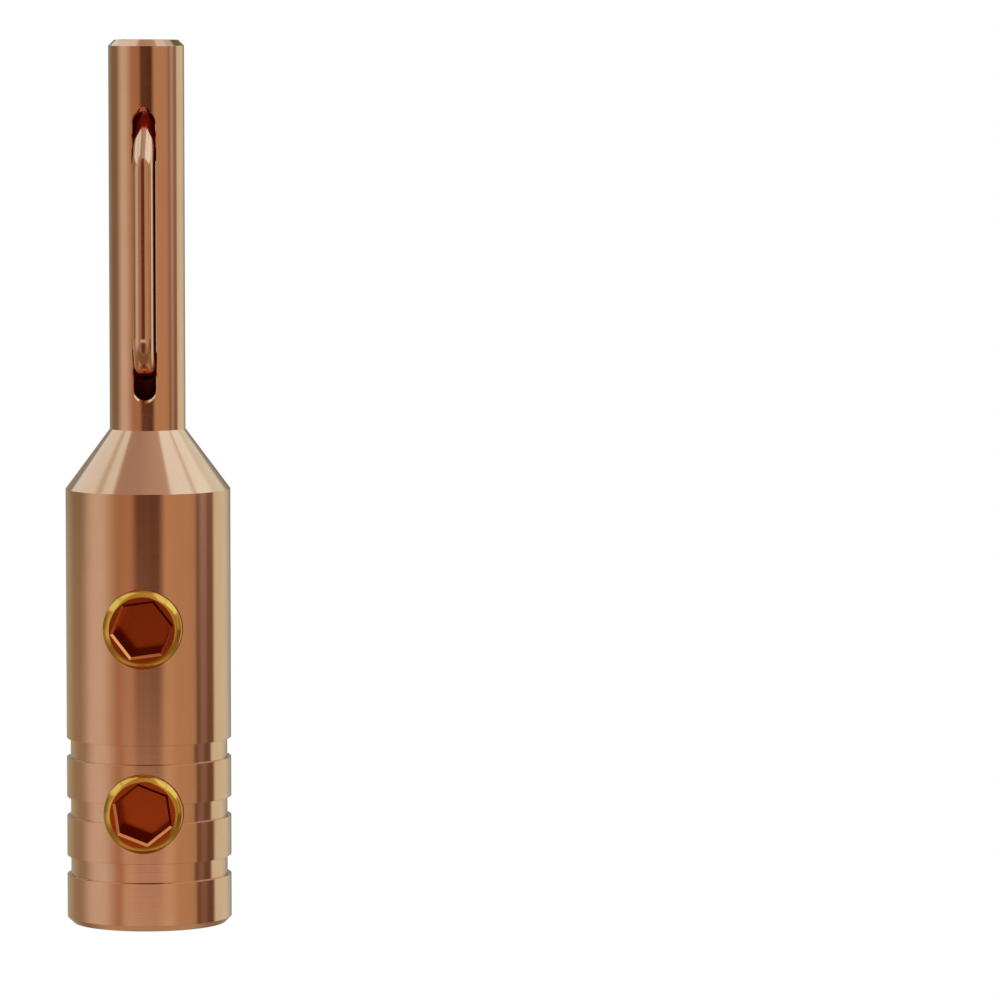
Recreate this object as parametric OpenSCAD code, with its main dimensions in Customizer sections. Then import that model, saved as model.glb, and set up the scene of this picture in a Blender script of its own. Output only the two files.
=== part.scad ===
// Banana plug with a slotted hollow pin, a bent-wire contact spring and two cable clamping set screws.
// The rear face stands on z = 0, the pin points up, and the slot and screws face -Y. All sizes in mm.

/* [Pin] */
// Diameter of the contact pin
pin_d = 3.9; // [3.6:0.05:4.2]
// Length of the contact pin ahead of the cone
pin_len = 20; // [18:0.5:24]
// Diameter of the bore drilled in from the tip
pin_bore_d = 2.6; // [2.5:0.05:2.8]
// Depth that the pin's bore reaches behind the start of the cone
pin_bore_overrun = 1.5; // [0.8:0.1:2]
// Chamfer round the outside of the tip
tip_chamfer = 0.3; // [0.1:0.05:0.5]
// Chamfer at the mouth of the pin's bore
tip_bore_chamfer = 0.1; // [0.05:0.05:0.2]

/* [Slot] */
// Distance from the cone to the rear end of the slot
slot_rear_inset = 1.55; // [1:0.05:3]
// Distance from the tip to the front end of the slot
slot_front_inset = 3.45; // [2.5:0.05:5]
// Gap on each side between the wire and the slot
slot_side_gap = 0.06; // [0.05:0.01:0.2]
// Lean of the slot's front wall, in degrees
slot_front_lean = 20; // [5:1:25]

/* [Contact spring] */
// Diameter of the spring wire
wire_d = 1.05; // [0.9:0.05:1.15]
// Gap between the pin and the straight part of the wire
spring_gap = 0.28; // [0.1:0.02:0.5]
// Slope of the wire where its front end dips into the slot
ramp_angle = 38; // [30:1:50]
// Centre-line radius of the two bends at the front of the wire
bend_r = 1; // [0.7:0.05:1.2]
// Open slot ahead of the place where the wire dips below the pin's surface
slot_front_room = 1.2; // [1.15:0.05:1.6]
// Length of the wire's front tail past its last bend
tail_len = 1.1; // [0.6:0.1:1.4]
// Gap between the front tail and the wall of the pin's bore
tail_gap = 0.1; // [0.06:0.01:0.15]
// Open slot behind the wire's rear leg
slot_rear_room = 1.3; // [1:0.05:2]
// Centre-line radius of the bend that turns the rear leg square into the slot
leg_bend_r = 1.4; // [1:0.05:1.5]
// Straight length of the rear leg past its bend
leg_len = 0.6; // [0.4:0.1:1]

/* [Body] */
// Diameter of the grip body
body_d = 8.5; // [8:0.1:10]
// Length of the grip body
body_len = 22.5; // [20:0.5:30]
// Height of the cone between the body and the pin
cone_h = 3.1; // [2:0.1:5]
// Chamfer round the rear end
rear_chamfer = 0.3; // [0.1:0.05:0.6]

/* [Grip grooves] */
// Number of turned grooves
groove_count = 3; // [1:1:4]
// Width of a groove
groove_w = 1; // [0.5:0.1:1.5]
// Depth of a groove
groove_depth = 0.2; // [0.1:0.05:0.4]
// Distance from the rear face to the middle of the first groove
groove_start = 3; // [2:0.1:4]
// Spacing of the grooves
groove_pitch = 3.05; // [2:0.05:4]

/* [Cable bore] */
// Diameter of the cable bore
cable_bore_d = 4.3; // [4.2:0.1:4.6]
// Length of cable bore past the far edge of the front screw hole
cable_bore_overrun = 1.3; // [0.5:0.1:1.8]
// Chamfer at the mouth of the cable bore
cable_chamfer = 0.3; // [0.1:0.05:0.5]

/* [Set screws] */
// Thread diameter of the set screws
screw_d = 4; // [3:0.5:4]
// Length of a set screw
screw_len = 2.4; // [2.2:0.1:3]
// Gap round the screw in its hole
screw_gap = 0.07; // [0.04:0.01:0.1]
// Height of the screw's end above the side of the body
screw_proud = 0.4; // [0.4:0.05:0.8]
// Chamfer round the inner end of a screw
screw_chamfer = 0.3; // [0.1:0.05:0.4]
// Rounding of the edge at the socket end of a screw
screw_round = 0.3; // [0.1:0.05:0.4]
// Width across flats of the hex socket
hex_af = 2.6; // [1.5:0.1:2.7]
// Depth of the hex socket
hex_depth = 2; // [1:0.1:2.1]
// Chamfer at the mouth of the hex socket
hex_chamfer = 0.1; // [0.05:0.01:0.15]
// Distance from the rear face to the rear screw
rear_screw_inset = 6.1; // [4:0.1:8]
// Distance from the cone to the front screw
front_screw_inset = 6.9; // [5:0.1:9]
// Turn of the rear screw's hexagon in degrees
rear_screw_turn = 38.5; // [0:0.5:60]
// Turn of the front screw's hexagon in degrees
front_screw_turn = 8; // [0:0.5:60]

/* [Hidden] */
$fn = 96;
cut = 0.5;
drill_point = 118;
round_steps = 8;

pin_r = pin_d / 2;
pin_bore_r = pin_bore_d / 2;
body_r = body_d / 2;
wire_r = wire_d / 2;
pin_z = body_len + cone_h;
tip_z = pin_z + pin_len;
pin_bore_z = pin_z - pin_bore_overrun;

// The wire's middle lies outside the pin and its front tail lies inside the bore.
land_y = pin_r + spring_gap + wire_r;
tail_y = pin_bore_r - tail_gap - wire_r;
ramp_in = land_y - tail_y;
ramp_len = (ramp_in - 2 * bend_r * (1 - cos(ramp_angle))) / sin(ramp_angle);

// From the end of the straight middle to the place where the outer line of the wire meets the pin.
outer_bend_r = bend_r + wire_r;
dip_in = spring_gap + wire_d - outer_bend_r * (1 - cos(ramp_angle));
dip_z = outer_bend_r * sin(ramp_angle) + dip_in / tan(ramp_angle);

slot_w = wire_d + 2 * slot_side_gap;
slot_rear_z = pin_z + slot_rear_inset;
slot_front_z = tip_z - slot_front_inset;
land_rear_z = slot_rear_z + slot_rear_room + wire_r + leg_bend_r;
land_front_z = slot_front_z - slot_front_room - dip_z;
land_len = land_front_z - land_rear_z;

// Drop of the leaning front wall from the pin's surface to its bore.
slot_lean_drop = (pin_r - pin_bore_r) * tan(slot_front_lean);
slot_straight_z = slot_front_z - slot_w / 2 / cos(slot_front_lean) - slot_lean_drop;

screw_hole_d = screw_d + 2 * screw_gap;
screw_end_y = body_r + screw_proud;
front_screw_z = body_len - front_screw_inset;
cable_bore_depth = front_screw_z + screw_hole_d / 2 + cable_bore_overrun;

copper = [0.72, 0.45, 0.31];
copper_wire = [0.78, 0.52, 0.38];
gilt = [0.76, 0.57, 0.16];

function groove_z(i) = groove_start + i * groove_pitch;

function groove_outline(z) = [
    [body_r, z - groove_w / 2],
    [body_r - groove_depth, z - groove_w / 2],
    [body_r - groove_depth, z + groove_w / 2],
    [body_r, z + groove_w / 2],
];

// Half section of the turned outside, from the rear face to the tip.
function body_outline() = concat(
    [[0, 0], [body_r - rear_chamfer, 0], [body_r, rear_chamfer]],
    [for (i = [0 : groove_count - 1]) each groove_outline(groove_z(i))],
    [[body_r, body_len], [pin_r, pin_z], [pin_r, tip_z - tip_chamfer]],
    [[pin_r - tip_chamfer, tip_z], [0, tip_z]]
);

// Blind hole with a drill point and a chamfered mouth, from the origin up along +Z.
module drilled_hole(d, depth, chamfer) {
    translate([0, 0, -cut])
        cylinder(d = d, h = depth + cut);
    translate([0, 0, depth])
        cylinder(d1 = d, d2 = 0, h = d / 2 / tan(drill_point / 2));
    translate([0, 0, -cut])
        cylinder(d1 = d + 2 * (chamfer + cut), d2 = d, h = chamfer + cut);
}

module pin_bore() {
    translate([0, 0, tip_z])
        mirror([0, 0, 1])
            drilled_hole(pin_bore_d, tip_z - pin_bore_z, tip_bore_chamfer);
}

// Places a shape that points up along +Z at height z on the -Y side, pointing outward.
module on_screw_side(z) {
    translate([0, 0, z])
        rotate([90, 0, 0])
            children();
}

// Round front end of the slot, leaning so that its wall faces outward a little.
module slot_front_end() {
    translate([0, -pin_r, slot_front_z])
        rotate([-slot_front_lean, 0, 0])
            translate([0, 0, -slot_w / 2]) {
                rotate([90, 0, 0])
                    cylinder(d = slot_w, h = 2 * pin_r, center = true);
                translate([-slot_w / 2, -pin_r, -slot_w])
                    cube([slot_w, 2 * pin_r, slot_w]);
            }
}

module slot() {
    on_screw_side(slot_rear_z + slot_w / 2)
        cylinder(d = slot_w, h = body_r);
    translate([-slot_w / 2, -body_r, slot_rear_z + slot_w / 2])
        cube([slot_w, body_r, slot_straight_z - slot_rear_z - slot_w / 2]);
    slot_front_end();
}

module body() {
    color(copper)
        difference() {
            rotate_extrude()
                polygon(body_outline());
            pin_bore();
            slot();
            drilled_hole(cable_bore_d, cable_bore_depth, cable_chamfer);
            for (z = [rear_screw_inset, front_screw_z])
                on_screw_side(z)
                    cylinder(d = screw_hole_d, h = body_r + cut);
        }
}

// Bend in the wire, starting at the origin along +Z and turning towards +Y.
module wire_bend(r, turn) {
    translate([0, r, 0])
        rotate([90, 0, -90])
            rotate_extrude(angle = turn)
                translate([r, 0])
                    circle(d = wire_d);
}

// Moves a shape to the end of such a bend.
module after_bend(r, turn) {
    translate([0, r * (1 - cos(turn)), r * sin(turn)])
        rotate([-turn, 0, 0])
            children();
}

// Bend, ramp, counter bend and tail at the front of the spring, starting at the origin along +Z.
module front_ramp() {
    wire_bend(bend_r, ramp_angle);
    after_bend(bend_r, ramp_angle) {
        cylinder(d = wire_d, h = ramp_len);
        translate([0, 0, ramp_len])
            mirror([0, 1, 0]) {
                wire_bend(bend_r, ramp_angle);
                after_bend(bend_r, ramp_angle)
                    cylinder(d = wire_d, h = tail_len);
            }
    }
}

// Square bend and short leg at the rear of the spring, starting at the origin along +Z.
module rear_leg() {
    wire_bend(leg_bend_r, 90);
    after_bend(leg_bend_r, 90)
        cylinder(d = wire_d, h = leg_len);
}

module contact_spring() {
    color(copper_wire)
        translate([0, -land_y, land_rear_z]) {
            cylinder(d = wire_d, h = land_len);
            translate([0, 0, land_len])
                front_ramp();
            mirror([0, 0, 1])
                rear_leg();
        }
}

// Point on the rounded edge of a screw, at an angle from its side.
function round_point(r, angle) = [
    r - screw_round * (1 - cos(angle)),
    screw_len - screw_round * (1 - sin(angle)),
];

// Set screw standing on its point at the origin, with its socket up along +Z.
module set_screw(turn) {
    screw_r = screw_d / 2;
    outline = concat(
        [[0, 0], [screw_r - screw_chamfer, 0], [screw_r, screw_chamfer]],
        [for (i = [0 : round_steps]) round_point(screw_r, 90 * i / round_steps)],
        [[0, screw_len]]
    );
    hex_d = hex_af / cos(30);
    mouth_d = (hex_af + 2 * (hex_chamfer + cut)) / cos(30);
    color(gilt)
        difference() {
            rotate_extrude()
                polygon(outline);
            rotate([0, 0, turn]) {
                translate([0, 0, screw_len - hex_depth])
                    cylinder(d = hex_d, h = hex_depth + cut, $fn = 6);
                translate([0, 0, screw_len - hex_chamfer])
                    cylinder(d1 = hex_d, d2 = mouth_d, h = hex_chamfer + cut, $fn = 6);
            }
        }
}

module seated_screw(z, turn) {
    on_screw_side(z)
        translate([0, 0, screw_end_y - screw_len])
            set_screw(turn);
}

module set_screw_front() {
    seated_screw(front_screw_z, front_screw_turn);
}

module set_screw_rear() {
    seated_screw(rear_screw_inset, rear_screw_turn);
}

body();
contact_spring();
set_screw_front();
set_screw_rear();
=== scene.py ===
import math

import bpy
from mathutils import Matrix, Vector


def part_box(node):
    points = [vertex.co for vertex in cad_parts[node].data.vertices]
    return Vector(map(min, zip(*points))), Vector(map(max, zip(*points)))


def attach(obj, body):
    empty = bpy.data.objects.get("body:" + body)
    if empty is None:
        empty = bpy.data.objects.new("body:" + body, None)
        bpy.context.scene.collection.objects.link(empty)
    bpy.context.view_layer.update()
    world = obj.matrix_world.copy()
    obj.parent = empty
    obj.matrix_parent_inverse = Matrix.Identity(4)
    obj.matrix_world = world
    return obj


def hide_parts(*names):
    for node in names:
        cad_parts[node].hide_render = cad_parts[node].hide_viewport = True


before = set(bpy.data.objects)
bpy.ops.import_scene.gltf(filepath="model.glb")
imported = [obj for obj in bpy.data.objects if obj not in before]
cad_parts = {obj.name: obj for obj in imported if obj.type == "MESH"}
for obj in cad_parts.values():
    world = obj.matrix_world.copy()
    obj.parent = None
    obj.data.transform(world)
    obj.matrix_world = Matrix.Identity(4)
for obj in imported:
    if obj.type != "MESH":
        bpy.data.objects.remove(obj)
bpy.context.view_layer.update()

# Sizes in millimetres, with the outer reaches taken from the parts in model.glb
MM = 0.001


def box_mm(node):
    lowest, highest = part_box(node)
    return lowest / MM, highest / MM


body_high = box_mm("body")[1]
wire_low, wire_high = box_mm("contact_spring")
front_screw_low, front_screw_high = box_mm("set_screw_front")
rear_screw_low, rear_screw_high = box_mm("set_screw_rear")

# Pin and cone
body_r = body_high.x
tip_z = body_high.z
pin_r = 1.95
pin_len = 20.0
pin_z = tip_z - pin_len
cone_h = 3.1
body_len = pin_z - cone_h
pin_bore_r = 1.3
pin_bore_overrun = 1.5
tip_chamfer = 0.3
tip_bore_chamfer = 0.1
drill_point = math.radians(118)
edge_round = 0.018
edge_steps = 3
drilled_depth = 0.05

# Body
rear_chamfer = 0.3
groove_count = 3
groove_w = 1.0
groove_depth = 0.2
groove_start = 3.0
groove_pitch = 3.05
cable_bore_r = 2.15
cable_bore_overrun = 1.3
cable_chamfer = 0.3

# Spring wire
wire_r = wire_high.x
land_y = wire_low.y + wire_r
tail_y = wire_high.y - wire_r
ramp_angle = math.radians(41)
nose_back = 0.15
leg_drop = 0.3
bend_r = 0.85
tail_len = 1.1
leg_bend_r = 1.78
leg_len = 0.22

# Slot, with a thin flared rim and a small scoop at its front end
slot_side_gap = 0.06
slot_w = 2 * (wire_r + slot_side_gap)
slot_rear_z = pin_z + 1.55
slot_front_z = tip_z - 3.6
slot_front_lean = math.radians(5)
slot_rim_out_y = -2.11
slot_rim_rear_y = -1.81
slot_rim_front_y = -1.8
slot_rim_flare = 0.37
slot_rim_front_flare = 0.1
slot_rim_taper = 1.2
slot_rim_rear_back = 0.07
slot_scoop_y = -1.76
slot_scoop_r = 0.38
slot_scoop_rise = 0.35

# Set screws
screw_r = front_screw_high.x
screw_len = front_screw_high.y - front_screw_low.y
screw_tip_y = front_screw_high.y
screw_chamfer = 0.3
screw_rim_r = screw_r + 0.035
bead_w = 0.335
bead_inset = 0.01
bead_inner_slope = math.radians(32)
bead_outer_slope = math.radians(60)
bead_steps = 14
screw_gap = 0.07
rim_gap = 0.008
screw_hole_r = screw_rim_r + rim_gap
front_screw_z = (front_screw_low.z + front_screw_high.z) / 2
rear_screw_z = (rear_screw_low.z + rear_screw_high.z) / 2
front_screw_turn = math.radians(8)
rear_screw_turn = math.radians(38.5)
hex_across = 2.6
hex_depth = 2.0
hex_chamfer = 0.13
thread_pitch = 0.7
thread_depth = 0.3
thread_rows = 14
thread_flank = 1.3
thread_crest = 0.15
thread_runout = 0.3
plain_rim = 1.0
bevel_tilt_low = 0.3
bevel_tilt_high = 0.95
face_tolerance = 0.0006

# Cutters and meshes
overcut = 0.5
disc_t = 0.002
hole_steps = 192
slot_steps = 96
scoop_steps = 48
crisp_angle = math.radians(26)
seam_merge = 0.0001
sliver_merge = 0.0004
facing_front = (math.pi / 2, 0, 0)


class Flow:
    """One output of a node, so that sums and products of values are written as plain Python."""

    def __init__(self, socket):
        self.socket = socket
        self.tree = socket.id_data

    @staticmethod
    def node(tree, kind, settings=None, sockets=None, output=0):
        """Adds a node, sets it up, fills or links its sockets and gives one of its outputs."""
        made = tree.nodes.new(kind)
        for name, value in (settings or {}).items():
            setattr(made, name, value)
        for key, value in (sockets or {}).items():
            for part in value if isinstance(value, list) else [value]:
                if isinstance(part, Flow):
                    tree.links.new(part.socket, made.inputs[key])
                else:
                    made.inputs[key].default_value = part
        return Flow(made.outputs[output]) if made.outputs else None

    def beside(self, output):
        """Another output of the same node."""
        return Flow(self.socket.node.outputs[output])

    def math(self, operation, *others):
        sockets = dict(enumerate((self, *others)))
        return Flow.node(self.tree, "ShaderNodeMath", {"operation": operation}, sockets)

    def before(self, operation, first):
        sockets = {0: first, 1: self}
        return Flow.node(self.tree, "ShaderNodeMath", {"operation": operation}, sockets)

    def __add__(self, other):
        return self.math("ADD", other)

    def __radd__(self, other):
        return self.before("ADD", other)

    def __sub__(self, other):
        return self.math("SUBTRACT", other)

    def __rsub__(self, other):
        return self.before("SUBTRACT", other)

    def __mul__(self, other):
        return self.math("MULTIPLY", other)

    def __rmul__(self, other):
        return self.before("MULTIPLY", other)

    def __truediv__(self, other):
        return self.math("DIVIDE", other)

    def __rtruediv__(self, other):
        return self.before("DIVIDE", other)


def split(vector):
    """The three parts of a vector."""
    parts = Flow.node(vector.tree, "ShaderNodeSeparateXYZ", sockets={0: vector})
    return parts, parts.beside(1), parts.beside(2)


def joined(tree, x, y, z):
    return Flow.node(tree, "ShaderNodeCombineXYZ", sockets={0: x, 1: y, 2: z})


def ease(value, start, end):
    """Smooth rise from 0 at start to 1 at end."""
    settings = {"interpolation_type": "SMOOTHSTEP"}
    sockets = {"Value": value, "From Min": start, "From Max": end}
    return Flow.node(value.tree, "ShaderNodeMapRange", settings, sockets)


def span(value, start, end, soft):
    """Mask that is 1 between start and end, with soft ends."""
    rise = ease(value, start - soft / 2, start + soft / 2)
    return rise * ease(value, end + soft / 2, end - soft / 2)


def blend(mask, first, second):
    """Colour that goes from first to second with the mask."""
    sockets = {0: mask, 6: first, 7: second}
    return Flow.node(mask.tree, "ShaderNodeMix", {"data_type": "RGBA"}, sockets, 2)


# Materials, with the share that wear, tool marks and specks have in every metal
worn_tone = 0.35
mark_tone = 0.3
worn_roughness = 0.015
mark_roughness = 0.05
speck_roughness = 0.03
speck_height = 0.2
bump_strength = 0.25
bump_depth = 0.0012 * MM


def place_mm(tree, centre):
    """Place on the object in millimetres, from a centre."""
    place = Flow.node(tree, "ShaderNodeTexCoord", output="Object")
    scaled = Flow.node(tree, "ShaderNodeVectorMath", {"operation": "SCALE"}, {0: place, "Scale": 1 / MM})
    return Flow.node(tree, "ShaderNodeVectorMath", {"operation": "SUBTRACT"}, {0: scaled, 1: centre})


def grain(tree, place, stretch, detail=2.0):
    """Cloudy pattern, with its fineness per millimetre along each axis."""
    scaled = Flow.node(tree, "ShaderNodeVectorMath", {"operation": "MULTIPLY"}, {0: place, 1: stretch})
    return Flow.node(tree, "ShaderNodeTexNoise", sockets={"Vector": scaled, "Scale": 1.0, "Detail": detail})


def bright_metal(name, tone, deep_tone, roughness, marks, centre=(0, 0, 0), metallic=1.0):
    """Polished metal with tool marks, a faint haze and slow changes of tone."""
    material = bpy.data.materials.new(name)
    material.use_nodes = True
    tree = material.node_tree
    tree.nodes.clear()
    place = place_mm(tree, centre)
    lines = marks(tree, place)
    haze = grain(tree, place, (0.9, 0.9, 0.5), 3.0)
    specks = grain(tree, place, (9.0, 9.0, 9.0), 1.0)
    worn = ease(haze, 0.35, 0.75)
    colour = blend(worn * worn_tone + lines * mark_tone, tone, deep_tone)
    rough = roughness + ease(lines, 0.35, 0.9) * mark_roughness
    rough = rough + worn * worn_roughness + ease(specks, 0.62, 0.8) * speck_roughness
    height = lines + specks * speck_height
    sockets = {"Height": height, "Strength": bump_strength, "Distance": bump_depth}
    bump = Flow.node(tree, "ShaderNodeBump", sockets=sockets)
    sockets = {"Base Color": colour, "Roughness": rough, "Metallic": metallic, "Normal": bump}
    shader = Flow.node(tree, "ShaderNodeBsdfPrincipled", sockets=sockets)
    Flow.node(tree, "ShaderNodeOutputMaterial", sockets={"Surface": shader})
    return material


def turned_marks(tree, place):
    """Fine rings left by turning about the plug's axis."""
    x, y, z = split(place)
    radius = (x * x + y * y).math("SQRT")
    return grain(tree, joined(tree, radius, 0.0, z), (16.0, 1.0, 16.0), 3.0)


def screw_marks(tree, place):
    """Fine rings left by turning about a screw's axis."""
    x, y, z = split(place)
    radius = (x * x + z * z).math("SQRT")
    return grain(tree, joined(tree, radius, y, 0.0), (14.0, 14.0, 1.0), 3.0)


def drawn_marks(tree, place):
    """Fine lines along the wire, from drawing it through a die."""
    return grain(tree, place, (22.0, 22.0, 0.5), 2.0)


copper = bright_metal(
    "polished_copper",
    tone=(0.88, 0.42, 0.235, 1),
    deep_tone=(0.82, 0.37, 0.20, 1),
    roughness=0.10,
    marks=turned_marks,
)
# Rough drilled finish inside the pin's bore and on the slot's walls; its dark red tone is painted shade of
# these recesses.
drilled_copper_painted_shade = bright_metal(
    "drilled_copper_painted_shade",
    tone=(0.42, 0.025, 0.02, 1),
    deep_tone=(0.32, 0.018, 0.016, 1),
    roughness=0.4,
    marks=turned_marks,
    metallic=0.4,
)
copper_wire = bright_metal(
    "drawn_copper_wire",
    tone=(0.90, 0.44, 0.25, 1),
    deep_tone=(0.84, 0.39, 0.21, 1),
    roughness=0.10,
    marks=drawn_marks,
)
gilt_finishes = {
    "rim": {"tone": (0.88, 0.40, 0.06, 1), "deep_tone": (0.83, 0.36, 0.05, 1), "roughness": 0.12},
    "bevel": {"tone": (0.92, 0.265, 0.07, 1), "deep_tone": (0.86, 0.24, 0.06, 1), "roughness": 0.12},
    # The socket finish is a darker, redder copy of the gold: partly the plating's own redder tone, partly
    # painted shade of the key socket and the flat face round it.
    "socket": {"tone": (0.60, 0.082, 0.014, 1), "deep_tone": (0.54, 0.070, 0.012, 1), "roughness": 0.16},
}


def gilt(screw, part, height):
    """Gold plate of one part of a screw, with its tool marks about that screw's axis."""
    finish = gilt_finishes[part]
    return bright_metal(screw + "_" + part, marks=screw_marks, centre=(0, 0, height), **finish)


# Shared steps of the geometry trees
def new_tree(name, sizes):
    """Geometry tree that takes an outline and named sizes, and those inputs as flows."""
    tree = bpy.data.node_groups.new(name, "GeometryNodeTree")
    tree.interface.new_socket("Outline", in_out="INPUT", socket_type="NodeSocketGeometry")
    for size, value in sizes.items():
        kind = "NodeSocketInt" if isinstance(value, int) else "NodeSocketFloat"
        tree.interface.new_socket(size, in_out="INPUT", socket_type=kind)
    tree.interface.new_socket("Piece", in_out="OUTPUT", socket_type="NodeSocketGeometry")
    entry = tree.nodes.new("NodeGroupInput")
    return tree, {socket.name: Flow(socket) for socket in entry.outputs if socket.name}


def lathe(tree, outline, segments):
    """Turns an outline in the XZ plane about Z into a closed skin."""
    count = Flow.node(tree, "GeometryNodeAttributeDomainSize", sockets={0: outline})
    sockets = {"Size X": 1.0, "Size Y": 1.0, "Vertices X": segments + 1, "Vertices Y": count}
    grid = Flow.node(tree, "GeometryNodeMeshGrid", sockets=sockets)
    place = Flow.node(tree, "GeometryNodeInputPosition")
    across, along, _ = split(place)
    row = ((along + 0.5) * (count - 1)).math("ROUND")
    settings = {"data_type": "FLOAT_VECTOR", "domain": "POINT"}
    sockets = {"Geometry": outline, "Value": place, "Index": row}
    point = Flow.node(tree, "GeometryNodeSampleIndex", settings, sockets)
    radius, _, height = split(point)
    angle = across * math.tau
    turned = joined(tree, radius * angle.math("COSINE"), radius * angle.math("SINE"), height)
    skin = Flow.node(tree, "GeometryNodeSetPosition", sockets={"Geometry": grid, "Position": turned})
    sockets = {"Geometry": skin, "Distance": seam_merge}
    return Flow.node(tree, "GeometryNodeMergeByDistance", sockets=sockets)


def moved(tree, shape, place=(0, 0, 0), turn=(0, 0, 0)):
    sockets = {"Geometry": shape, "Translation": place, "Rotation": turn}
    return Flow.node(tree, "GeometryNodeTransform", sockets=sockets)


def hull(tree, shapes):
    both = Flow.node(tree, "GeometryNodeJoinGeometry", sockets={0: shapes})
    return Flow.node(tree, "GeometryNodeConvexHull", sockets={0: both})


def cut_away(tree, shape, cutters):
    """Takes cutters away from a shape, and closes the slivers that a cut leaves at its corners."""
    settings = {"operation": "DIFFERENCE", "solver": "MANIFOLD"}
    rest = Flow.node(tree, "GeometryNodeMeshBoolean", settings, {"Mesh 1": shape, "Mesh 2": cutters})
    sockets = {"Geometry": rest, "Distance": sliver_merge}
    return Flow.node(tree, "GeometryNodeMergeByDistance", sockets=sockets)


def rod(tree, radius, depth, vertices):
    sockets = {"Vertices": vertices, "Radius": radius, "Depth": depth}
    return Flow.node(tree, "GeometryNodeMeshCylinder", sockets=sockets)


def disc(tree, radius, vertices):
    """Thin disc that faces the front."""
    return moved(tree, rod(tree, radius, disc_t, vertices), turn=facing_front)


def finished(tree, shape):
    """Smooth faces with crisp edges, as the last step but the materials."""
    smooth = Flow.node(tree, "GeometryNodeSetShadeSmooth", {"domain": "FACE"}, {0: shape})
    bend = Flow.node(tree, "GeometryNodeInputMeshEdgeAngle")
    crisp = bend.math("GREATER_THAN", crisp_angle)
    sockets = {0: smooth, "Selection": crisp, "Shade Smooth": False}
    return Flow.node(tree, "GeometryNodeSetShadeSmooth", {"domain": "EDGE"}, sockets)


def end_tree(tree, shape, material, others=()):
    """Ends a tree with plain faces, their main material and others where a mask says so."""
    real = Flow.node(tree, "GeometryNodeRealizeInstances", sockets={0: shape})
    dressed = Flow.node(tree, "GeometryNodeSetMaterial", sockets={0: real, "Material": material})
    for other, where in others:
        sockets = {0: dressed, "Selection": where, "Material": other}
        dressed = Flow.node(tree, "GeometryNodeSetMaterial", sockets=sockets)
    Flow.node(tree, "NodeGroupOutput", sockets={0: dressed})


def named_faces(tree, shape, name, mask):
    """Keeps a mask on the faces under a name, and gives the shape and the mask read back."""
    settings = {"data_type": "BOOLEAN", "domain": "FACE"}
    sockets = {"Geometry": shape, "Name": name, "Value": mask}
    marked = Flow.node(tree, "GeometryNodeStoreNamedAttribute", settings, sockets)
    settings = {"data_type": "BOOLEAN"}
    return marked, Flow.node(tree, "GeometryNodeInputNamedAttribute", settings, {"Name": name})


def build_piece(name, tree, points, sizes):
    """Runs a tree on a line of points and gives the plain mesh object, in metres."""
    line = bpy.data.meshes.new(name + "_outline")
    line.from_pydata(points, [(i, i + 1) for i in range(len(points) - 1)], [])
    piece = bpy.data.objects.new(name, line)
    bpy.context.scene.collection.objects.link(piece)
    maker = piece.modifiers.new("maker", "NODES")
    maker.node_group = tree
    for item in tree.interface.items_tree:
        if item.in_out == "INPUT" and item.name in sizes:
            maker[item.identifier] = sizes[item.name]
    evener = piece.modifiers.new("even_normals", "WEIGHTED_NORMAL")
    evener.keep_sharp = True
    evener.weight = 100
    graph = bpy.context.evaluated_depsgraph_get()
    mesh = bpy.data.meshes.new_from_object(
        piece.evaluated_get(graph), preserve_all_data_layers=True, depsgraph=graph
    )
    piece.modifiers.clear()
    mesh.transform(Matrix.Scale(MM, 4))
    piece.data = mesh
    return piece


# Turned body
def groove_outline(middle):
    low = middle - groove_w / 2
    high = middle + groove_w / 2
    return [(body_r, low), (body_r - groove_depth, low), (body_r - groove_depth, high), (body_r, high)]


def body_outline():
    """Half section from the end of the cable bore round the outside to the end of the pin's bore."""
    slope = math.tan(drill_point / 2)
    bore_depth = front_screw_z + screw_r + screw_gap + cable_bore_overrun
    pin_bore_z = pin_z - pin_bore_overrun
    line = [
        (0, bore_depth + cable_bore_r / slope),
        (cable_bore_r, bore_depth),
        (cable_bore_r, cable_chamfer),
        (cable_bore_r + cable_chamfer, 0),
        (body_r - rear_chamfer, 0),
        (body_r, rear_chamfer),
    ]
    for number in range(groove_count):
        line += groove_outline(groove_start + number * groove_pitch)
    line += [
        (body_r, body_len),
        (pin_r, pin_z),
        (pin_r, tip_z - tip_chamfer),
        (pin_r - tip_chamfer, tip_z),
        (pin_bore_r + tip_bore_chamfer, tip_z),
        (pin_bore_r, tip_z - tip_bore_chamfer),
        (pin_bore_r, pin_bore_z),
        (0, pin_bore_z - pin_bore_r / slope),
    ]
    return [(r, 0, z) for r, z in line]


body_sizes = {"Segments": 512, "Edge round": edge_round, "Slot width": slot_w, "Rim flare": slot_rim_flare}


def screw_holes(tree):
    """Drills at the places of the two set screws."""
    sockets = {
        "Count": 2,
        "Start Location": (0, -body_r, rear_screw_z),
        "Offset": (0, -body_r, front_screw_z),
    }
    spots = Flow.node(tree, "GeometryNodeMeshLine", {"mode": "END_POINTS"}, sockets)
    drill = moved(tree, rod(tree, screw_hole_r, 2 * body_r, hole_steps), turn=facing_front)
    sockets = {"Points": spots, "Instance": drill}
    copies = Flow.node(tree, "GeometryNodeInstanceOnPoints", sockets=sockets)
    return Flow.node(tree, "GeometryNodeRealizeInstances", sockets={0: copies})


def slot_cutter(tree, half):
    """Milled slot with round ends, the front one leaning a little."""
    mill = moved(tree, rod(tree, half, body_r, slot_steps), turn=facing_front)
    leaning = moved(tree, mill, turn=(-slot_front_lean, 0, 0))
    front_z = slot_front_z - half / math.cos(slot_front_lean)
    rear = moved(tree, mill, joined(tree, 0.0, -body_r / 2, half + slot_rear_z))
    front = moved(tree, leaning, joined(tree, 0.0, -pin_r, front_z))
    return hull(tree, [rear, front])


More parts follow.
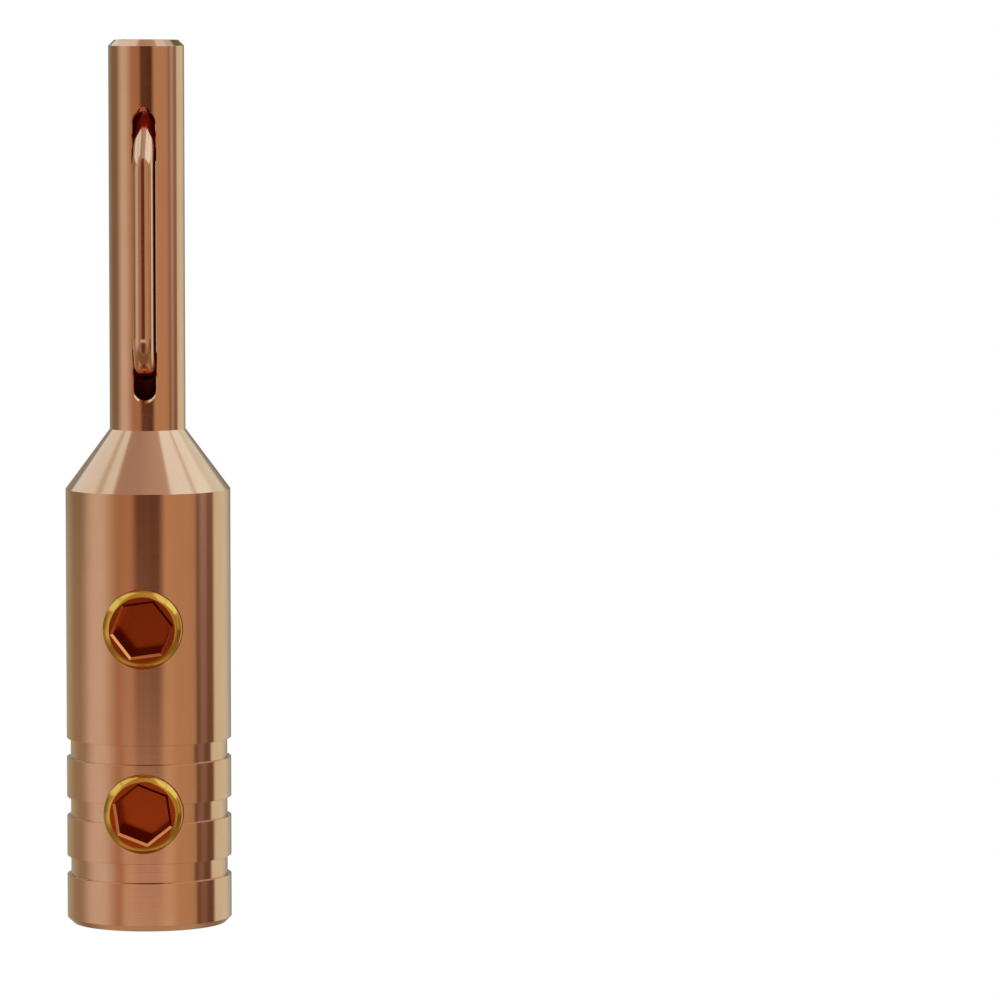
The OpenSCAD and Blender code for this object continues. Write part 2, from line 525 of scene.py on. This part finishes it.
def rim_cutter(tree, half, flare):
    """Flared edge of the slot, which narrows towards its front end."""
    narrow = disc(tree, half, slot_steps)
    wide = disc(tree, half + flare, slot_steps)
    less_wide = disc(tree, half + slot_rim_front_flare, slot_steps)
    rear_z = half + slot_rear_z
    front_z = slot_front_z - half
    spots = [
        (narrow, slot_rim_rear_y, rear_z),
        (narrow, slot_rim_front_y, front_z),
        (wide, slot_rim_out_y, rear_z + slot_rim_rear_back),
        (wide, slot_rim_out_y, front_z - slot_rim_taper),
        (less_wide, slot_rim_out_y, front_z),
    ]
    return hull(tree, [moved(tree, shape, joined(tree, 0.0, y, z)) for shape, y, z in spots])


def scoop_cutter(tree):
    """Small scoop at the front end of the slot."""
    small = disc(tree, slot_scoop_r, scoop_steps)
    middle_z = slot_front_z - slot_scoop_r
    spots = [
        (0, slot_scoop_y, middle_z),
        (0, slot_rim_out_y, middle_z + slot_scoop_rise),
        (0, slot_rim_out_y, middle_z - slot_scoop_r),
    ]
    return hull(tree, [moved(tree, small, spot) for spot in spots])


def drilled_faces(tree):
    """Mask of the pin's bore and the walls of the slot, which get the dark red painted shade."""
    x, y, z = split(Flow.node(tree, "GeometryNodeInputPosition"))
    within = (x * x + y * y).math("SQRT").math("LESS_THAN", pin_r - drilled_depth)
    within = within * y.math("GREATER_THAN", slot_scoop_y)
    return within * z.math("GREATER_THAN", body_len) * z.math("LESS_THAN", tip_z - 2 * tip_bore_chamfer)


def body_tree():
    tree, size = new_tree("turned_body", body_sizes)
    curve = Flow.node(tree, "GeometryNodeMeshToCurve", sockets={0: size["Outline"]})
    sockets = {"Curve": curve, "Count": edge_steps, "Radius": size["Edge round"]}
    rounded = Flow.node(tree, "GeometryNodeFilletCurve", {"mode": "POLY"}, sockets)
    line = Flow.node(tree, "GeometryNodeCurveToMesh", sockets={0: rounded})
    blank = lathe(tree, line, size["Segments"])
    half = size["Slot width"] / 2
    drilled = cut_away(tree, blank, [screw_holes(tree), slot_cutter(tree, half)])
    shape = cut_away(tree, drilled, [rim_cutter(tree, half, size["Rim flare"]), scoop_cutter(tree)])
    # The bore and the slot's walls take the drilled copper with its dark red painted shade.
    end_tree(tree, finished(tree, shape), copper, [(drilled_copper_painted_shade, drilled_faces(tree))])
    return tree


body = build_piece("turned_body", body_tree(), body_outline(), body_sizes)
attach(body, "plug_body")
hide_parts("body")


# Bent spring wire
def wire_path():
    """Corners of the wire's centre line, from the end of its rear leg to its front tail."""
    ramp_run = (tail_y - land_y) / math.tan(ramp_angle)
    tail_run = tail_len + bend_r * math.tan(ramp_angle / 2)
    leg_z = wire_low.z + wire_r - leg_drop
    front_z = wire_high.z - nose_back
    return [
        (0, land_y + leg_bend_r + leg_len, leg_z),
        (0, land_y, leg_z),
        (0, land_y, front_z - tail_run - ramp_run),
        (0, tail_y, front_z - tail_run),
        (0, tail_y, front_z),
    ]


wire_sizes = {
    "Wire radius": wire_r,
    "Front bend radius": bend_r,
    "Rear bend radius": leg_bend_r,
    "Bend steps": 40,
    "Round steps": 72,
}


def wire_tree():
    tree, size = new_tree("bent_wire", wire_sizes)
    curve = Flow.node(tree, "GeometryNodeMeshToCurve", sockets={0: size["Outline"]})
    z = split(Flow.node(tree, "GeometryNodeInputPosition"))[2]
    at_rear = z.math("LESS_THAN", (wire_low.z + wire_high.z) / 2)
    radius = size["Front bend radius"] + at_rear * (size["Rear bend radius"] - size["Front bend radius"])
    sockets = {"Curve": curve, "Count": size["Bend steps"], "Radius": radius}
    bent = Flow.node(tree, "GeometryNodeFilletCurve", {"mode": "POLY"}, sockets)
    sockets = {"Resolution": size["Round steps"], "Radius": size["Wire radius"]}
    section = Flow.node(tree, "GeometryNodeCurvePrimitiveCircle", sockets=sockets)
    sockets = {"Curve": bent, "Profile Curve": section, "Fill Caps": True}
    wire = Flow.node(tree, "GeometryNodeCurveToMesh", sockets=sockets)
    end_tree(tree, finished(tree, wire), copper_wire)
    return tree


wire = build_piece("spring_wire", wire_tree(), wire_path(), wire_sizes)
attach(wire, "spring")
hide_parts("contact_spring")


# Set screws
def screw_outline():
    """Half section of a screw that stands on its point, with close rows where the thread is."""
    thread_top = screw_len - plain_rim
    rows = round((thread_top - screw_chamfer) / thread_pitch * thread_rows)
    step = (thread_top - screw_chamfer) / rows
    line = [(0, 0), (screw_r - screw_chamfer, 0)]
    line += [(screw_r, screw_chamfer + row * step) for row in range(rows + 1)]
    rim_r = screw_rim_r - bead_inset
    bead_r = bead_w / (math.sin(bead_outer_slope) - math.sin(bead_inner_slope))
    line.append((rim_r, thread_top + bead_inset))
    for number in range(bead_steps + 1):
        slope = bead_outer_slope + (bead_inner_slope - bead_outer_slope) * number / bead_steps
        inward = bead_r * (math.sin(bead_outer_slope) - math.sin(slope))
        down = bead_r * (math.cos(bead_inner_slope) - math.cos(slope))
        line.append((rim_r - inward, screw_len - down))
    line.append((0, screw_len))
    return [(r, 0, z) for r, z in line]


screw_sizes = {
    "Segments": 192,
    "Pitch": thread_pitch,
    "Thread depth": thread_depth,
    "Hex turn": 0.0,
    "Height": 0.0,
}


def threaded(tree, blank, size):
    """Presses the valley of the thread into the side of a plain screw."""
    x, y, z = split(Flow.node(tree, "GeometryNodeInputPosition"))
    radius = (x * x + y * y).math("SQRT")
    turns = z / size["Pitch"] - y.math("ARCTAN2", x) / math.tau
    tooth = (turns.math("FRACT") - 0.5).math("ABSOLUTE") * 2
    flank = (tooth * thread_flank - thread_crest).math("MAXIMUM", 0.0).math("MINIMUM", 1.0)
    run = span(z, screw_chamfer * 0.6, screw_len - plain_rim - thread_runout / 2, thread_runout)
    run = run * radius.math("GREATER_THAN", screw_r - screw_chamfer / 2)
    inward = flank * run * size["Thread depth"] / radius
    offset = joined(tree, 0.0 - x * inward, 0.0 - y * inward, 0.0)
    return Flow.node(tree, "GeometryNodeSetPosition", sockets={"Geometry": blank, "Offset": offset})


def hex_cutters(tree, hex_turn):
    """Hexagon of the key and the bevel at its mouth."""
    corner = hex_across / 2 / math.cos(math.radians(30))
    flare = (hex_across / 2 + hex_chamfer + overcut) / math.cos(math.radians(30))
    sockets = {
        "Vertices": 6,
        "Radius Top": flare,
        "Radius Bottom": corner,
        "Depth": hex_chamfer + overcut,
    }
    cone = Flow.node(tree, "GeometryNodeMeshCone", sockets=sockets)
    mouth = moved(tree, cone, (0, 0, screw_len - hex_chamfer))
    key_z = screw_len - (hex_depth - overcut) / 2
    key = moved(tree, rod(tree, corner, hex_depth + overcut, 6), (0, 0, key_z))
    turn = joined(tree, 0.0, 0.0, hex_turn)
    return [moved(tree, key, turn=turn), moved(tree, mouth, turn=turn)]


def screw_tree(name, height):
    tree, size = new_tree(name, screw_sizes)
    blank = threaded(tree, lathe(tree, size["Outline"], size["Segments"]), size)
    shape = finished(tree, cut_away(tree, blank, hex_cutters(tree, size["Hex turn"])))

    x, y, z = split(Flow.node(tree, "GeometryNodeInputPosition"))
    radius = (x * x + y * y).math("SQRT")
    tilt = split(Flow.node(tree, "GeometryNodeInputNormal"))[2]
    at_face = radius.math("LESS_THAN", screw_rim_r - bead_inset - bead_w)
    bevel = tilt.math("GREATER_THAN", bevel_tilt_low) * tilt.math("LESS_THAN", bevel_tilt_high) * at_face
    inside = at_face.math("MAXIMUM", z.math("GREATER_THAN", screw_len - face_tolerance))
    shape, on_bevel = named_faces(tree, shape, "on_bevel", bevel)
    # The key socket and the flat face get the darker gold, partly its own redder tone and partly painted
    # shade.
    shape, in_socket = named_faces(tree, shape, "in_socket", inside * (1 - bevel))
    seated = moved(tree, shape, joined(tree, 0.0, screw_tip_y, size["Height"]), facing_front)
    others = [(gilt(name, "bevel", height), on_bevel), (gilt(name, "socket", height), in_socket)]
    end_tree(tree, seated, gilt(name, "rim", height), others)
    return tree


def set_screw(name, node, body_name, height, turn):
    sizes = {**screw_sizes, "Hex turn": turn, "Height": height}
    screw = build_piece(name, screw_tree(name, height), screw_outline(), sizes)
    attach(screw, body_name)
    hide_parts(node)


set_screw("front_set_screw", "set_screw_front", "front_screw", front_screw_z, front_screw_turn)
set_screw("rear_set_screw", "set_screw_rear", "rear_screw", rear_screw_z, rear_screw_turn)


# Studio: white floor, and a room of soft panels that the metal mirrors
floor_half = 3.0
camera_side = 18.2153 * MM
camera_away = 346.22 * MM
camera_height = 50.36 * MM
camera_tilt = math.radians(85.2995)
camera_round = math.radians(1.3)
camera_aim = math.radians(0.0075)
camera_lens = 242.27
sensor_width = 36.0
mirror_bounces = 12
flattest = 0.05
camera_yaw = math.degrees(math.atan2(camera_side, camera_away) + camera_round)


def white_floor():
    corners = [(-floor_half, -floor_half, 0), (floor_half, -floor_half, 0)]
    corners += [(floor_half, floor_half, 0), (-floor_half, floor_half, 0)]
    mesh = bpy.data.meshes.new("floor")
    mesh.from_pydata(corners, [], [(0, 1, 2, 3)])
    floor = bpy.data.objects.new("floor", mesh)
    bpy.context.scene.collection.objects.link(floor)
    material = bpy.data.materials.new("floor_white")
    material.use_nodes = True
    tree = material.node_tree
    tree.nodes.clear()
    sockets = {"Color": (1, 1, 1, 1), "Strength": 1.0}
    glow = Flow.node(tree, "ShaderNodeEmission", sockets=sockets)
    Flow.node(tree, "ShaderNodeOutputMaterial", sockets={"Surface": glow})
    mesh.materials.append(material)
    floor.visible_glossy = False


def room_walls(bearing, rise):
    """Light of the walls by bearing from the front, with a soft box, a dark gap, a post and a window."""
    low = ease(rise, -4.2, -5.4)
    back_left = blend(low, (0.219, 0.226, 0.180, 1), (0.323, 0.334, 0.276, 1))
    far_left = blend(low, (0.287, 0.345, 0.285, 1), (0.388, 0.438, 0.322, 1))
    light = blend(ease(bearing, -126, -145), back_left, far_left)
    front_wall = blend(ease(bearing, -10, 10), (0.395, 0.290, 0.204, 1), (0.481, 0.421, 0.309, 1))
    light = blend(span(bearing, -68, 72, 30), light, front_wall)
    low_front = span(bearing, -38, 36, 14) * ease(rise, -6, -8.6)
    light = blend(low_front, light, (0.62, 0.64, 0.59, 1))
    left_box = ease(bearing + low * 7, -107, -78) * ease(bearing, -40, -72)
    light = blend(left_box, light, (0.603, 0.717, 0.761, 1))
    gap_tone = blend(ease(rise, -1.5, -3.5), (0.118, 0.067, 0.050, 1), (0.100, 0.052, 0.039, 1))
    gap_tone = blend(ease(rise, -5.4, -7.2), gap_tone, (0.33, 0.235, 0.19, 1))
    gap_tone = blend(ease(rise, -7.0, -8.5), gap_tone, (0.70, 0.68, 0.64, 1))
    dim_strip = span(bearing, 2.5, 14, 5) * ease(rise, -8.0, -5.8) * 0.3
    gap_tone = blend(dim_strip, gap_tone, (0.03, 0.015, 0.01, 1))
    front_gap = span(bearing, -19.6, 19.5, 12) * ease(rise, 70, 60)
    light = blend(front_gap, light, gap_tone)
    post = blend(ease(rise, -8, -1), (0.135, 0.095, 0.075, 1), (0.30, 0.26, 0.225, 1))
    light = blend(span(bearing, 70.3, 105, 6), light, post)
    post_gleam = blend(ease(rise, -8, -1), (0.225, 0.18, 0.157, 1), (0.485, 0.53, 0.585, 1))
    light = blend(span(bearing, 77, 89, 8), light, post_gleam)
    window = ease(bearing, 100.5, 107.5) * ease(bearing, 170, 128)
    light = blend(window, light, (0.67, 0.92, 0.90, 1))
    low_sides = ease(bearing.math("ABSOLUTE"), 40, 60) * ease(rise, -13, -33)
    light = blend(low_sides, light, (0.25, 0.23, 0.165, 1))
    return light


def room_ceiling(right, away):
    """Light of a flat ceiling, seen square from the camera, with its panels."""
    top = blend(ease(right, -0.35, 0.35), (0.41, 0.41, 0.43, 1), (0.504, 0.534, 0.54, 1))
    top = blend(ease(away, 1.9, 2.6), top, (0.22, 0.33, 0.30, 1))
    left_edge = away - right * 0.488 - 0.157
    left_panel = ease(right, -2.25, -2.15) * ease(left_edge, -0.05, 0.05) * ease(away, 2.9, 2.0)
    top = blend(left_panel, top, (0.748, 1.14, 1.41, 1))
    left_seam = span(right, -0.97, -0.84, 0.08) * left_panel * ease(away, 1.0, 0.7)
    top = blend(left_seam, top, (0.56, 0.72, 0.77, 1))
    inner_edge = right + away * 0.392 - 0.292
    inner_panel = ease(inner_edge, -0.04, 0.04) * ease(right, 0.88, 0.80) * ease(away, 0.85, 0.75)
    inner_tone = blend(ease(away, -0.04, 0.12), (0.846, 1.30, 1.70, 1), (0.73, 1.09, 1.36, 1))
    inner_tone = blend(ease(away, 0.27, 0.4), inner_tone, (0.53, 0.80, 1.0, 1))
    top = blend(inner_panel, top, inner_tone)
    outer_panel = span(right, 0.88, 2.4, 0.08) * span(away, -0.8, 2.9, 0.5)
    outer_tone = blend(ease(away, 0.65, 0.9), (0.852, 1.374, 1.77, 1), (0.71, 1.10, 1.22, 1))
    top = blend(outer_panel, top, outer_tone)
    dark_back = span(right, -0.2, 1.08, 0.12) * ease(away, 0.72, 0.84)
    top = blend(dark_back, top, (0.16, 0.19, 0.13, 1))
    return top


def room_floor(away, bearing, rise):
    """Light of the floor, with a dark patch in front of the plug."""
    floor = blend(ease(away, -1.1, -0.7), (0.33, 0.28, 0.235, 1), (0.22, 0.15, 0.10, 1))
    floor = blend(ease(away, -0.25, 0.0), floor, (0.44, 0.45, 0.37, 1))
    dark_front = span(bearing, -24, 22, 12) * ease(rise, -50, -38)
    return blend(dark_front, floor, (0.119, 0.065, 0.044, 1))


def soft_room():
    """World light by direction, as the metal mirrors it, and white behind the plug."""
    world = bpy.data.worlds.new("soft_room")
    bpy.context.scene.world = world
    world.use_nodes = True
    tree = world.node_tree
    tree.nodes.clear()
    x, y, z = split(Flow.node(tree, "ShaderNodeTexCoord", output="Generated"))
    bearing = x.math("ARCTAN2", 0.0 - y) * (180 / math.pi) - camera_yaw
    rise = z.math("ARCSINE") * (180 / math.pi)
    turn = math.radians(camera_yaw)
    sideways = x * math.cos(turn) + y * math.sin(turn)
    onward = y * math.cos(turn) - x * math.sin(turn)
    height = z.math("MAXIMUM", flattest)
    depth = (0.0 - z).math("MAXIMUM", flattest)

    light = room_walls(bearing, rise)
    away = onward / height
    ceiling = room_ceiling(sideways / height, away)
    light = blend(ease(rise, 12, 22) * ease(away, -0.62, -0.5), light, ceiling)
    floor = room_floor(onward / depth, bearing, rise)
    aside = ease(bearing.math("ABSOLUTE"), 36, 70)
    floor_edge = aside * -25 - 13
    light = blend(ease(rise, floor_edge, floor_edge - 4 - aside * 16), light, floor)
    seen = Flow.node(tree, "ShaderNodeLightPath", output="Is Camera Ray")
    light = blend(seen, light, (1, 1, 1, 1))
    shown = Flow.node(tree, "ShaderNodeBackground", sockets={"Color": light, "Strength": 1.0})
    Flow.node(tree, "ShaderNodeOutputWorld", sockets={"Surface": shown})


def front_camera():
    data = bpy.data.cameras.new("camera")
    data.sensor_width = sensor_width
    data.lens = camera_lens
    camera = bpy.data.objects.new("camera", data)
    place = Vector((camera_side, -camera_away, camera_height))
    camera.location = Matrix.Rotation(camera_round, 3, "Z") @ place
    camera.rotation_euler = (camera_tilt, 0, camera_round + camera_aim)
    bpy.context.scene.collection.objects.link(camera)
    bpy.context.scene.camera = camera


white_floor()
soft_room()
front_camera()
bpy.context.scene.view_settings.view_transform = "Standard"
bpy.context.scene.cycles.glossy_bounces = mirror_bounces
